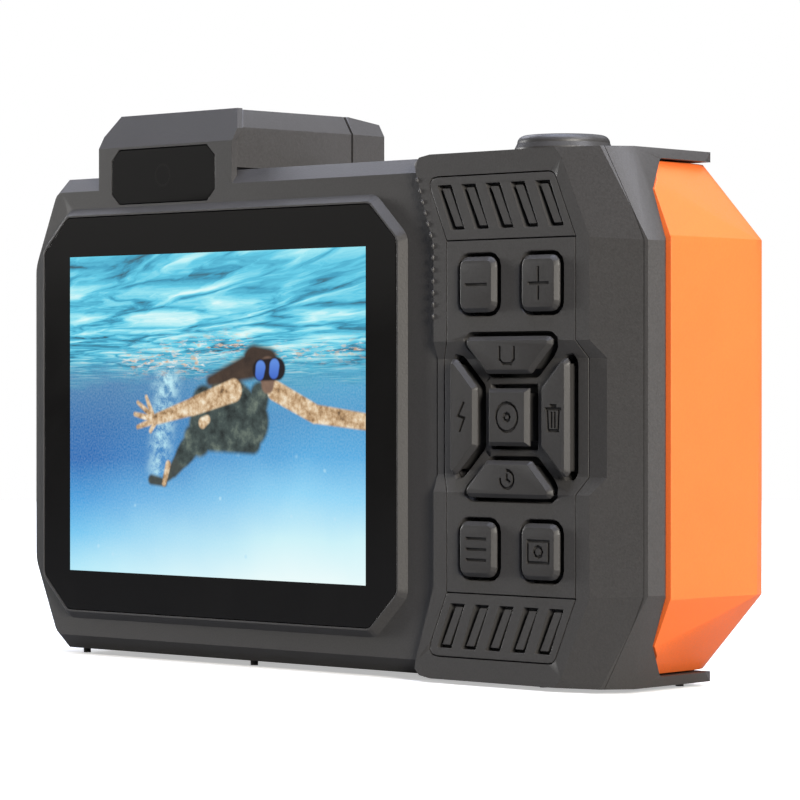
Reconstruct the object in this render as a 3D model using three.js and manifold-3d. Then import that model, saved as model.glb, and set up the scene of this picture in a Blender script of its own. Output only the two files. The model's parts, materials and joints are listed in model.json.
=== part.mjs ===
// A rugged compact camera with a rear display, a keypad grip and a front lens.
//
// Millimetres. +X points to the hand grip, +Y forwards out of the lens, +Z up.
// Every piece is drawn around the centre of the rear display: X = 0 and Z = 0 there, and Y = 0 is the
// plane of the display glass. The exported group then moves the middle of the base to the origin.

import * as THREE from 'three';
import { ConvexGeometry } from 'three/addons/geometries/ConvexGeometry.js';
import { mergeVertices } from 'three/addons/utils/BufferGeometryUtils.js';
import Module from 'manifold-3d';

const wasm = await Module();
wasm.setup();

// ---------- driving dimensions ----------

const GAP = 0.3; // clearance between neighbouring pieces
const WALL = 2.0; // shell wall thickness

const HALF_HEIGHT = 32.15; // body, above and below the display centre
const GRIP_HALF = 32.4; // grip, the same
const BASE = 32.85; // the base nubs stand this far below the display centre
const LEFT = -36.9; // outer left side of the body
const SEAM_X = 40.3; // left edge of the grip's rear cover
const SEAM_END = { x: 36.9, z: 30.4 }; // the slanting seam ends here, on the body's side of it
const PLATE_Y = 0.9; // rear plate around the display
const PLATE = { left: -36.65, bendZ: 20.2, cornerX: -32.2, half: 30.3, bodyY: 2.5 };
const SPLIT_Y = 11.0; // rear shell meets front shell
const FRONT_Y = 21.5; // front face of the body

const DISPLAY = { halfX: 28.45, halfZ: 21.34 }; // active area, 2.8 inch, 4:3
const GLASS = { halfX: 33.77, halfZ: 26.65, cutX: 4.8, cutZ: 4.6, corner: 1.3, thick: 1.1 };
const FRAME = { foot: 1.25, crest: 0.35 }; // raised frame, beyond the glass edge

const POD = {
  left: -23.5,
  right: 2.93,
  top: 40.4,
  waist: 37.6, // the sides turn into slopes here
  run: 1.7, // of those slopes, inwards
  rearTop: 35.95, // the rear face turns into its slope here
  slopeY: 3.5, // where that slope reaches the top
  plate: 0.9, // thickness of the rear cap
  inset: 0.45, // from the rear cap's edge to the cover behind it
  seamY: 23.5,
  frontY: 29.8,
};
const POD_WINDOW = { left: -20.8, right: -0.45, low: 28.3, high: 35.55, cutX: 1.5, cutZ: 1.4 };

const CHANNEL = { // for the thumb, across the grip
  depth: 0.75,
  floor: 7.1, // half height of its floor
  rim: 9.25, // half height at the grip's surface
  widerRight: 1.5, // the keypad's panel is this much wider on the floor
  widerLeft: 1.1,
};
const PANEL = { left: 42.6, right: 63.6, half: 21.55, thick: 1.6, gap: 0.16 };
const COVER_WALL = 3.0; // grip rear cover behind the keys
const SLOT = {
  count: 5,
  width: 2.4,
  pitch: 4.06,
  first: 43.2,
  low: 22.95,
  high: 28.5,
  lean: 2.3,
  depth: 1.2,
  blade: [0.8, 0.42, 0.4], // from a slot's left, right and lower edges to its blade
};

const KEY = {
  centreX: 53.13,
  columnX: 5.12, // corner keys, from the pad's centre
  rowZ: 16.15,
  halfX: 2.55, // crown of a corner key
  halfZ: 2.9,
  radius: 0.8,
  top: -0.65, // crowns stand out of the panel to this Y
  bevel: 0.5,
  lip: 0.2, // height of the crown's upright edge, above the narrower stem
  play: 0.45, // from a key's side to its hole
  rim: 0.12, // chamfer around the hole
};
const PAD = {
  inner: 5.75, // a key's inner and outer edges, from the middle of the centre key
  outer: 9.3,
  innerHalf: 3.4, // half length of the inner edge; the ends run outwards at 45 degrees
  corners: [0.3, 0.3, 0.38, 0.38],
  centreHalfX: 2.85,
  centreHalfZ: 3.0,
};
const KEY_BOARD = { halfX: 10.6, halfZ: 20.5 };

const SHUTTER = { x: 52, y: 11, radius: 6.05, top: 34.65, stem: 2.5 };
const POWER = { x: 27, y: 6.8, radius: 2.6, stem: 1.2 };
const LENS = { x: -9.35, z: -1.5, ring: 17.5, barrel: 14.7, window: 12.3, frontY: 33.4 };
const FRONT_SCREEN = { x: 29.0, halfX: 18.5, halfZ: 14.5, cut: 2.2 };
const DOOR = { left: 43.0, right: 63.1, rear: 5.2, front: 18.0, pinZ: -31.1, pinRadius: 0.5 };
const TRIPOD = { x: 14, y: 15.85, flange: 4.2, thread: 2.95 };
const CASE_SCREWS = [[-31.6, 24], [-31.6, -24], [36.4, 24], [36.4, -24]]; // X and Z

const GRIP_ROUND = 24; // segments of a large circle
const SMALL_ROUND = 16; // segments of a small one

// ---------- palette ----------

const PALETTE = {
  charcoal: { color: 0x3f3e3e, roughness: 0.55, metalness: 0.0 },
  keys: { color: 0x3a3a3a, roughness: 0.5, metalness: 0.0 },
  orange: { color: 0xff8a3c, roughness: 0.5, metalness: 0.0 },
  glass: { color: 0x101112, roughness: 0.05, metalness: 0.0 },
  rubber: { color: 0x1c1c1c, roughness: 0.8, metalness: 0.0 },
  metal: { color: 0xb9bbbd, roughness: 0.3, metalness: 1.0 },
  board: { color: 0x1f5a3a, roughness: 0.6, metalness: 0.0 },
  module: { color: 0x2a2c30, roughness: 0.5, metalness: 0.0 },
  clear: { color: 0xe8eef2, roughness: 0.08, metalness: 0.0 },
};

// ---------- solids ----------

function toSolid(geometry) {
  const bare = geometry.clone();
  bare.deleteAttribute('normal');
  bare.deleteAttribute('uv');
  const merged = mergeVertices(bare, 1e-4);
  const index = merged.index.array;
  const triVerts = [];
  for (let i = 0; i < index.length; i += 3) {
    const [a, b, c] = [index[i], index[i + 1], index[i + 2]];
    if (a !== b && b !== c && c !== a) triVerts.push(a, b, c);
  }
  return new wasm.Manifold(new wasm.Mesh({
    numProp: 3,
    vertProperties: new Float32Array(merged.attributes.position.array),
    triVerts: new Uint32Array(triVerts),
  }));
}

function toMesh(name, solid, look) {
  const { vertProperties, triVerts } = solid.getMesh();
  const geometry = new THREE.BufferGeometry();
  geometry.setAttribute('position', new THREE.BufferAttribute(new Float32Array(vertProperties), 3));
  geometry.setIndex(new THREE.BufferAttribute(new Uint32Array(triVerts), 1));
  geometry.computeVertexNormals();
  const mesh = new THREE.Mesh(geometry, new THREE.MeshStandardMaterial(PALETTE[look]));
  mesh.name = name;
  return mesh;
}

function extrude(outline, length) {
  const shape = new THREE.Shape(outline.map(([x, y]) => new THREE.Vector2(x, y)));
  return new THREE.ExtrudeGeometry(shape, { depth: length, bevelEnabled: false });
}

// An outline in X and Z, carried from y0 to y1.
function prismY(outline, y0, y1) {
  return toSolid(extrude(outline, y1 - y0).rotateX(Math.PI / 2).translate(0, y1, 0));
}

// An outline in Y and Z, carried from x0 to x1.
function prismX(outline, x0, x1) {
  const turn = new THREE.Matrix4().set(0, 0, 1, x0, 1, 0, 0, 0, 0, 1, 0, 0, 0, 0, 0, 1);
  return toSolid(extrude(outline, x1 - x0).applyMatrix4(turn));
}

// An outline in X and Y, carried from z0 to z1.
function prismZ(outline, z0, z1) {
  return toSolid(extrude(outline, z1 - z0).translate(0, 0, z0));
}

function box(x0, x1, y0, y1, z0, z1) {
  const geometry = new THREE.BoxGeometry(x1 - x0, y1 - y0, z1 - z0);
  return toSolid(geometry.translate((x0 + x1) / 2, (y0 + y1) / 2, (z0 + z1) / 2));
}

function hull(points) {
  return toSolid(new ConvexGeometry(points.map((p) => new THREE.Vector3(...p))));
}

// A turned solid. The profile's points are [radius, height], anticlockwise, along +Y from (x, z).
function turnedY(profile, x, z, segments = GRIP_ROUND) {
  const points = profile.map(([r, h]) => new THREE.Vector2(r, h));
  return toSolid(new THREE.LatheGeometry(points, segments).translate(x, 0, z));
}

// The same along +Z from (x, y).
function turnedZ(profile, x, y, segments = GRIP_ROUND) {
  const points = profile.map(([r, h]) => new THREE.Vector2(r, h));
  return toSolid(new THREE.LatheGeometry(points, segments).rotateX(Math.PI / 2).translate(x, y, 0));
}

function discProfile(radius, low, high) {
  return [[0, low], [radius, low], [radius, high], [0, high]];
}

function ringProfile(inner, outer, low, high) {
  return [[inner, low], [outer, low], [outer, high], [inner, high], [inner, low]];
}

// ---------- outlines ----------

function rectangle(halfU, halfV, u = 0, v = 0) {
  return [[u - halfU, v - halfV], [u + halfU, v - halfV], [u + halfU, v + halfV], [u - halfU, v + halfV]];
}

function cutRectangle(halfU, halfV, cutU, cutV, u = 0, v = 0) {
  const quarter = [[halfU - cutU, halfV], [halfU, halfV - cutV]];
  const [a, b] = quarter;
  return [
    [u - a[0], v - a[1]], [u + a[0], v - a[1]], [u + b[0], v - b[1]], [u + b[0], v + b[1]],
    [u + a[0], v + a[1]], [u - a[0], v + a[1]], [u - b[0], v + b[1]], [u - b[0], v - b[1]],
  ];
}

function roundedRectangle(halfU, halfV, radius, u = 0, v = 0) {
  const steps = 3;
  const outline = [];
  for (let corner = 0; corner < 4; corner += 1) {
    const signU = corner === 0 || corner === 3 ? 1 : -1;
    const signV = corner < 2 ? 1 : -1;
    for (let step = 0; step <= steps; step += 1) {
      const angle = (corner + step / steps) * Math.PI / 2;
      outline.push([
        u + signU * (halfU - radius) + radius * Math.cos(angle),
        v + signV * (halfV - radius) + radius * Math.sin(angle),
      ]);
    }
  }
  return outline;
}

// Moves every side of an anticlockwise outline outwards by a distance, with mitred corners.
function grow(outline, distance) {
  const count = outline.length;
  return outline.map(([u, v], i) => {
    const [pu, pv] = outline[(i + count - 1) % count];
    const [nu, nv] = outline[(i + 1) % count];
    const before = new THREE.Vector2(v - pv, pu - u).normalize();
    const after = new THREE.Vector2(nv - v, u - nu).normalize();
    const mitre = before.clone().add(after);
    mitre.multiplyScalar(distance / (1 + before.dot(after)));
    return [u + mitre.x, v + mitre.y];
  });
}

// Rounds the corners of an outline. The radii run in step with its corners.
function fillet(outline, radii, steps = 3) {
  const count = outline.length;
  const corners = outline.map(([u, v]) => new THREE.Vector2(u, v));
  return corners.flatMap((corner, i) => {
    if (radii[i] === 0) return [[corner.x, corner.y]];
    const before = corners[(i + count - 1) % count].clone().sub(corner).normalize();
    const after = corners[(i + 1) % count].clone().sub(corner).normalize();
    const reach = radii[i] / Math.tan(Math.acos(before.dot(after)) / 2);
    const start = before.multiplyScalar(reach).add(corner);
    const end = after.multiplyScalar(reach).add(corner);
    return new THREE.QuadraticBezierCurve(start, corner, end).getPoints(steps).map((p) => [p.x, p.y]);
  });
}

function mirrorV(outline) {
  return outline.map(([u, v]) => [u, -v]).reverse();
}

function atY(outline, y) {
  return outline.map(([x, z]) => [x, y, z]);
}

// ---------- grip: the faceted end of the body ----------

// The cover's outline on the rear plane.
const SEAM = [[39.6, GRIP_HALF], [37.8, 32.1], [37.0, 31.3], [37.2, 30.4], [SEAM_X, 21]];
const SEAM_BELOW = mirrorV(SEAM);
const GRIP_REAR = [
  ...SEAM, ...SEAM_BELOW, [60.3, -GRIP_HALF], [61.4, -31.2], [65.9, -21.5], [65.9, 21.5], [61.4, 31.2],
  [60.3, GRIP_HALF],
];

// Where the grip's upper and lower edges run in plan, as [X, Y], from the chamfer to the lip's front end.
const LIP_PLAN = [[65.9, 1.9], [68.4, 5.2], [67.3, 20.8]];
const LIP_ROOT = [66.9, 2.3, 30.6]; // the side's edge meets the lip here

// The grip's side, half way up, as [X, Y].
const SIDE_PLAN = [[72.9, 2.5], [73.5, 4.8]];

// The orange cover in plan, as [X, Y]: half way up, and at the lips. Both start behind the cover's edge.
const COVER_MIDDLE = [
  [73.75, 3.0], [75.7, 19.4], [75.25, 20.9], [74.2, 22.1], [72.4, 23.2], [69.6, 24.1], [66, 24.5],
  [57, 24.5], [50.5, 21.8], [50.5, 3.0],
];
const COVER_LIP = [
  [68.3, 3.0], [66.7, 19.2], [66.1, 20.8], [64.8, 21.9], [62.4, 22.6], [57, 22.9], [50.5, 21.8], [50.5, 3.0],
];
const COVER_TOP = 30.9; // half height of the orange cover
const BEND_Z = 21.4; // the side turns into its slopes here

// The step between the dark strip and the orange cover, as [Y, Z], from the top down.
const COVER_EDGE = [[9.6, 31], [6.0, 27.2], [5.2, 21.7], [5.2, -21.7], [6.0, -27.2], [9.6, -31]];

function gripHull() {
  const points = atY(GRIP_REAR, 0);
  for (const side of [1, -1]) {
    for (const [x, y] of SIDE_PLAN) points.push([x, y, side * 21]);
    for (const [x, y] of LIP_PLAN) points.push([x, y, side * GRIP_HALF]);
    points.push([LIP_ROOT[0], LIP_ROOT[1], side * LIP_ROOT[2]]);
    points.push([37.0, 0, side * GRIP_HALF], [37.0, LIP_PLAN[2][1], side * GRIP_HALF]);
  }
  const gripSide = [...SEAM, ...SEAM_BELOW, [90, -GRIP_HALF], [90, GRIP_HALF]];
  return hull(points).intersect(prismY(gripSide, -1, 40));
}

function coverHull(inset) {
  const points = [];
  for (const side of [1, -1]) {
    for (const [x, y] of COVER_MIDDLE) points.push([x - inset, y - (y > 3 ? inset : 0), side * BEND_Z]);
    for (const [x, y] of COVER_LIP) {
      points.push([x - inset, y - (y > 3 ? inset : 0), side * (COVER_TOP - inset)]);
    }
  }
  return hull(points);
}

function aheadOfStep(shift) {
  const edge = COVER_EDGE.map(([y, z]) => [y + shift, z]);
  return [[40, -31.15], [40, 31.15], [10 + shift, 31.15], ...edge, [10 + shift, -31.15]].reverse();
}

function thumbChannel() {
  const { depth, floor, rim } = CHANNEL;
  const section = [[-2, rim], [0, rim], [depth, floor], [depth, -floor], [0, -rim], [-2, -rim]];
  return prismX(section, 38, 80);
}

// ---------- keypad ----------

const VENT_PANEL = fillet(
  [[PANEL.left, 21.7], [PANEL.right, 21.7], [60.15, 29.5], [39.2, 29.5]], [0, 0, 1.3, 1.15],
);

const KEY_PANEL = [
  [PANEL.left, -PANEL.half], [PANEL.right, -PANEL.half], [PANEL.right, -CHANNEL.rim],
  [PANEL.right + CHANNEL.widerRight, -CHANNEL.floor], [PANEL.right + CHANNEL.widerRight, CHANNEL.floor],
  [PANEL.right, CHANNEL.rim],
  [PANEL.right, PANEL.half], [PANEL.left, PANEL.half], [PANEL.left, CHANNEL.rim],
  [PANEL.left - CHANNEL.widerLeft, CHANNEL.floor], [PANEL.left - CHANNEL.widerLeft, -CHANNEL.floor],
  [PANEL.left, -CHANNEL.rim],
];

// The pad's four keys are one trapezoid, turned in quarters around the centre key.
function padOutline(quarters) {
  const { inner, outer, innerHalf, corners } = PAD;
  const outerHalf = innerHalf + outer - inner;
  const outline = fillet(
    [[-innerHalf, inner], [innerHalf, inner], [outerHalf, outer], [-outerHalf, outer]], corners, 4,
  );
  const angle = quarters * Math.PI / 2;
  return outline.map(([u, v]) => [
    KEY.centreX + u * Math.cos(angle) - v * Math.sin(angle),
    u * Math.sin(angle) + v * Math.cos(angle),
  ]);
}

function cornerOutline(column, row) {
  return roundedRectangle(KEY.halfX, KEY.halfZ, KEY.radius, KEY.centreX + column * KEY.columnX, row * KEY.rowZ);
}

const KEYS = [
  { name: 'zoom_out_key', outline: cornerOutline(-1, 1), face: 0 },
  { name: 'zoom_in_key', outline: cornerOutline(1, 1), face: 0 },
  { name: 'mode_key', outline: cornerOutline(-1, -1), face: 0 },
  { name: 'still_key', outline: cornerOutline(1, -1), face: 0 },
  { name: 'up_key', outline: padOutline(0), face: CHANNEL.depth },
  { name: 'left_key', outline: padOutline(1), face: CHANNEL.depth },
  { name: 'down_key', outline: padOutline(2), face: CHANNEL.depth },
  { name: 'right_key', outline: padOutline(3), face: CHANNEL.depth },
  { name: 'centre_key', outline: rectangle(PAD.centreHalfX, PAD.centreHalfZ, KEY.centreX, 0), face: CHANNEL.depth },
];

// A hole for each key, with a chamfered rim on the face that the key stands out of.
function keyHoles() {
  return KEYS.map(({ outline, face }) => {
    const hole = grow(outline, KEY.bevel + KEY.play);
    const rim = grow(hole, KEY.rim);
    const mouth = hull([...atY(rim, -2), ...atY(rim, face), ...atY(hole, face + KEY.rim)]);
    return mouth.add(prismY(hole, -2, COVER_WALL + 1));
  });
}

// A key: bevelled crown, straight sides through the panel and a flange behind the cover.
function keySolid(outline) {
  const { top, bevel } = KEY;
  const side = grow(outline, bevel);
  const edge = top + bevel;
  const crown = hull([...atY(outline, top), ...atY(side, edge), ...atY(side, edge + KEY.lip)]);
  const stem = prismY(grow(outline, -0.1), edge, COVER_WALL + 0.3);
  const flange = prismY(grow(side, KEY.play + 0.25), COVER_WALL + 0.2, COVER_WALL + 0.6);
  return crown.add(stem).add(flange);
}

// Slanting slots, each a groove around a blade that lies just below the panel's face.
function ventSlots(mirror) {
  const { count, width, pitch, first, low, high, lean, depth, blade } = SLOT;
  const slanted = (left, right, bottom, top) => {
    const outline = [[left, bottom], [right, bottom], [right - lean, top], [left - lean, top]];
    return mirror ? mirrorV(outline) : outline;
  };
  return Array.from({ length: count }, (_, i) => {
    const left = first + i * pitch;
    const slot = slanted(left, left + width, low, high);
    const core = slanted(left + blade[0], left + width - blade[1], low + blade[2], high - blade[2]);
    return prismY(slot, -1, depth).subtract(prismY(core, 0.12, depth + 1));
  });
}

function subtractAll(solid, cuts) {
  return cuts.reduce((rest, cut) => rest.subtract(cut), solid);
}

function gripPieces() {
  const pocketDepth = PANEL.thick + GAP;
  const panels = [VENT_PANEL, KEY_PANEL, mirrorV(VENT_PANEL)];
  const pockets = panels.map((outline) => prismY(grow(outline, PANEL.gap), -1, pocketDepth));
  const lipGuideHole = turnedZ(discProfile(SHUTTER.radius + 0.3, 29, 36), SHUTTER.x, SHUTTER.y);
  const doorHole = box(DOOR.left - 2.1, DOOR.right + GAP, DOOR.rear - GAP, DOOR.front + GAP, -33, -29);
  const interior = gripInterior();
  const cover = subtractAll(gripHull(), [
    interior, prismX(aheadOfStep(0), 38, 80), thumbChannel(), ...pockets, ...keyHoles(), lipGuideHole,
  ]);
  const lugs = [[3.6, DOOR.rear - GAP], [DOOR.front + GAP, DOOR.front + GAP + 1.3]]
    .map(([y0, y1]) => box(41.4, 44.6, y0, y1, -31.6, -29.8));
  const pinHole = hingePin(DOOR.pinRadius + 0.05, 3, 22);
  const withLugs = lugs.reduce((solid, lug) => solid.add(lug), cover).subtract(doorHole).subtract(pinHole);
  const nubs = [[55, 4], [65.6, 17]].map(([x, y]) => nub(x, y));
  const channel = thumbChannel();
  const slots = [ventSlots(false), [...keyHoles(), channel], ventSlots(true)];
  const names = ['upper_vent_panel', 'keypad_panel', 'lower_vent_panel'];
  const whole = nubs.reduce((solid, n) => solid.add(n), withLugs);
  return [
    toMesh('grip_rear_cover', whole.subtract(frameRegion(0)), 'charcoal'),
    toMesh('grip_frame', whole.intersect(frameRegion(0.06)), 'charcoal'),
    ...panels.map((outline, i) => toMesh(
      names[i], subtractAll(prismY(outline, 0, PANEL.thick), slots[i]), 'charcoal',
    )),
    toMesh('grip_cover', gripCover(), 'orange'),
  ];
}

// What belongs to the frame around the orange cover, in from its seam by a distance.
function frameRegion(inset) {
  const rear = 2.3 + inset;
  const side = box(66.4 + inset, 90, rear, 40, -40, 40);
  const lips = [[-40, -30.95], [30.95, 40]].map(([z0, z1]) => box(61 + inset, 90, rear, 40, z0, z1));
  return lips.reduce((solid, lip) => solid.add(lip), side);
}

// The space behind the grip's rear cover, open towards the display side and the front.
function gripInterior() {
  const ring = (x, half) => [[x, COVER_WALL], [x + 3.2, COVER_WALL + 1.5], [x + 3.8, 40]]
    .map(([px, py]) => [[px, py, half], [px, py, -half]]);
  const points = [...ring(66.2, 20.6), ...ring(61.8, 31.15)].flat();
  const left = [[30, COVER_WALL], [30, 40]].flatMap(([x, y]) => [[x, y, 31.15], [x, y, -31.15]]);
  return hull([...points, ...left]);
}

function gripCover() {
  const skin = coverHull(0).intersect(prismX(aheadOfStep(0.15), 38, 90)).subtract(coverHull(1.7));
  return skin.subtract(box(40, 64.2, 2, 20.5, -40, 40)).subtract(shutterRoom());
}

// Space under the top lip for the shutter button's collar.
function shutterRoom() {
  return turnedZ(discProfile(SHUTTER.radius + 1.5, 26, 31.1), SHUTTER.x, SHUTTER.y);
}

function nub(x, y) {
  return turnedZ(discProfile(0.5, -BASE, -HALF_HEIGHT + 0.5), x, y, SMALL_ROUND);
}

function keyPieces() {
  const mat = prismY(rectangle(KEY_BOARD.halfX, KEY_BOARD.halfZ, KEY.centreX, 0), 4.25, 4.9);
  const domes = KEYS.map(({ outline }) => {
    const x = outline.reduce((sum, p) => sum + p[0], 0) / outline.length;
    const z = outline.reduce((sum, p) => sum + p[1], 0) / outline.length;
    return turnedY([[0, 4.7], [1.4, 4.7], [1.4, 4.85], [1.4, 5.1], [0, 5.1]], x, z, 12);
  });
  return [
    ...KEYS.map(({ name, outline }) => toMesh(name, keySolid(outline), 'keys')),
    toMesh('key_mat', domes.reduce((solid, dome) => solid.add(dome), mat), 'rubber'),
    toMesh('key_board', prismY(rectangle(KEY_BOARD.halfX, KEY_BOARD.halfZ, KEY.centreX, 0), 5.4, 6.2), 'board'),
  ];
}

// ---------- main body ----------

// The body's left end, as [X, Z] from the lower corner round to the upper one, in by an inset.
function leftEnd(inset) {
  const left = LEFT + inset;
  const half = HALF_HEIGHT - inset;
  const upper = [[left, 20.3], [left + 3.3, 29.6], [left + 5.5, half]];
  return [...upper.reverse(), ...mirrorV(upper)];
}

function bodyOutline(right) {
  return [...leftEnd(0), [right, -HALF_HEIGHT], [right, HALF_HEIGHT]];
}

// The rear shell's right side follows the grip cover's slanting seam.
function seamOutline(inset) {
  const half = HALF_HEIGHT - inset;
  return [
    ...leftEnd(inset), [SEAM_END.x - 0.2, -half], [SEAM_END.x, -SEAM_END.z], [SEAM_X - GAP, -21],
    [SEAM_X - GAP, 21], [SEAM_END.x, SEAM_END.z], [SEAM_END.x - 0.2, half],
  ];
}

// The flat of the rear plate, which ends short of the body's top and bottom.
function plateOutline() {
  const { left, bendZ, cornerX, half } = PLATE;
  const seam = SEAM_X - GAP;
  return fillet([
    [left, bendZ], [left, -bendZ], [cornerX, -half], [SEAM_END.x, -half], [seam, -21], [seam, 21],
    [SEAM_END.x, half], [cornerX, half],
  ], [5, 5, 1.6, 0, 0, 0, 0, 1.6]);
}

function glassOutline() {
  const { halfX, halfZ, cutX, cutZ, corner } = GLASS;
  return fillet(cutRectangle(halfX, halfZ, cutX, cutZ), Array(8).fill(corner));
}

function rearShell() {
  const body = hull([
    ...atY(plateOutline(), PLATE_Y), ...atY(seamOutline(0), PLATE.bodyY), ...atY(seamOutline(0), SPLIT_Y),
  ]).intersect(prismY(seamOutline(0), 0, 20));
  const glassEdge = glassOutline();
  const frame = hull([
    ...atY(grow(glassEdge, FRAME.crest), 0), ...atY(grow(glassEdge, FRAME.foot), PLATE_Y),
    ...atY(grow(glassEdge, FRAME.foot), 2),
  ]);
  const glassPocket = prismY(grow(glassEdge, 0.12), -1, GLASS.thick + 0.35);
  const lcdHole = box(-30.3, 30.3, 0, 4, -23.3, 23.3);
  const inside = prismY(grow(seamOutline(0), -WALL), 2.8, 20);
  const openSide = box(30, 45, 2.8, 20, -29, 29);
  const powerHole = turnedZ(discProfile(POWER.radius + 0.25, 29, 36), POWER.x, POWER.y, SMALL_ROUND);
  const tongue = podTongue();
  const solid = body.add(frame).add(tongue);
  const nubs = [[-29.5, 4], [3.9, 4]].map(([x, y]) => nub(x, y));
  return subtractAll(nubs.reduce((sum, n) => sum.add(n), solid), [
    glassPocket, lcdHole, inside, openSide, powerHole, podWindowPocket(),
  ]);
}

function frontShell() {
  const edge = 1.2;
  const body = hull([
    ...atY(seamOutline(0), SPLIT_Y + GAP), ...atY(seamOutline(0), FRONT_Y - edge),
    ...atY(seamOutline(edge), FRONT_Y),
  ]);
  const bridge = box(36, 50.2, SPLIT_Y + GAP, FRONT_Y - 0.2, -COVER_TOP + 0.05, COVER_TOP - 0.05);
  const core = coverHull(2.1).intersect(box(49, 90, SPLIT_Y + GAP, 40, -COVER_TOP, COVER_TOP));
  const bodyInside = prismY(grow(bodyOutline(SEAM_X + 20), -WALL), 0, FRONT_Y - 1.9);
  const limit = box(-60, 50.9, 0, 40, -28.8, 28.8).add(box(-60, 36, 0, 40, -40, 40));
  const coreInside = coverHull(4.1).intersect(box(49, 90, 2, 40, -28.8, 28.8));
  const lensHole = turnedY(discProfile(LENS.barrel + 0.3, 18, 24), LENS.x, LENS.z);
  const screenEdge = cutRectangle(FRONT_SCREEN.halfX, FRONT_SCREEN.halfZ, FRONT_SCREEN.cut, FRONT_SCREEN.cut,
    FRONT_SCREEN.x, 0);
  const screenPocket = prismY(grow(screenEdge, 0.15), FRONT_Y - 1.35, 30);
  const screenHole = prismY(grow(screenEdge, -2.2), 15, 30);
  const batteryHole = box(44.7, 62.3, 7, 18.3, -32, -26);
  const hingeRoom = box(40.8, 45.2, 10, DOOR.front + 1.9, -32, -29.4);
  const tripodPocket = turnedZ(discProfile(TRIPOD.flange + 0.25, -34, -31), TRIPOD.x, TRIPOD.y);
  const tripodHole = turnedZ(discProfile(3.9, -34, -28), TRIPOD.x, TRIPOD.y);
  const posts = CASE_SCREWS.map(([x, z]) => turnedY(discProfile(2.6, 13, 20.5), x, z, SMALL_ROUND));
  const screwHoles = CASE_SCREWS.map(([x, z]) => turnedY(
    [[0, 12], [1.2, 12], [1.2, 20.0], [2.05, 20.0], [2.05, 22], [0, 22]], x, z, SMALL_ROUND,
  ));
  const shell = subtractAll(body.add(bridge).add(core), [bodyInside.intersect(limit), coreInside]);
  const withPosts = posts.reduce((solid, post) => solid.add(post), shell);
  const nubs = [[-29.5, 17.5], [3.9, 17.5]].map(([x, y]) => nub(x, y));
  return subtractAll(nubs.reduce((sum, n) => sum.add(n), withPosts), [
    lensHole, screenPocket, screenHole, batteryHole, hingeRoom, shutterRoom(), tripodPocket, tripodHole,
    ...screwHoles,
  ]);
}

function displayPieces() {
  const glassEdge = glassOutline();
  const screenEdge = cutRectangle(FRONT_SCREEN.halfX, FRONT_SCREEN.halfZ, FRONT_SCREEN.cut, FRONT_SCREEN.cut,
    FRONT_SCREEN.x, 0);
  const lcdBack = prismY(rectangle(DISPLAY.halfX + 1.2, DISPLAY.halfZ + 1.2), GLASS.thick + 0.35, 4.2);
  return [
    toMesh('display_glass', prismY(glassEdge, 0.03, GLASS.thick), 'glass'),
    toMesh('display_module', lcdBack, 'module'),
    toMesh('front_display_glass', prismY(screenEdge, FRONT_Y - 1.05, FRONT_Y - 0.1), 'glass'),
    toMesh('front_display_module', prismY(rectangle(15.6, 11.6, FRONT_SCREEN.x, 0), 17.6, 20.1), 'module'),
  ];
}

// ---------- pod ----------

function podWindowOutline(growth) {
  const { left, right, low, high, cutX, cutZ } = POD_WINDOW;
  const outline = cutRectangle((right - left) / 2, (high - low) / 2, cutX, cutZ, (left + right) / 2,
    (low + high) / 2);
  return grow(outline, growth);
}

function podWindowPocket() {
  return prismY(podWindowOutline(0.1), 0, PLATE_Y + 1.5);
}

// The pod's cross-section, as [X, Z], in from its outside by an inset.
function podSection(inset, low = HALF_HEIGHT + GAP) {
  const { left, right, top, waist, run } = POD;
  const lift = 0.7 * inset; // the cover's top is nearly level with the cap's
  const outline = [
    [left, low - inset], [right, low - inset], [right, waist + lift], [right - run, top + lift],
    [left + run, top + lift], [left, waist + lift],
  ];
  return grow(outline, -inset);
}

// Everything to the rear of the pod's upright and sloping rear faces, moved forwards by a distance.
function behindRear(shift) {
  const { rearTop, top, slopeY } = POD;
  const [run, rise] = [slopeY - PLATE_Y, top - rearTop];
  const y = PLATE_Y + shift;
  const high = rearTop + 2 * rise;
  return prismX([[-5, 20], [y, 20], [y, rearTop], [y + 2 * run, high], [-5, high]], -30, 10);
}

// The part of the rear shell that closes the pod from behind: a bent cap, and a block behind its window.
function podTongue() {
  const { left, right, plate } = POD;
  const block = rectangle((right - left) / 2 - 3.2, 1.9, (left + right) / 2, 32.2);
  const cap = prismY(podSection(0, 30), 0, 10).intersect(behindRear(plate)).subtract(behindRear(0));
  return cap.add(prismY(block, PLATE_Y, PLATE_Y + 2.4));
}

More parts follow.
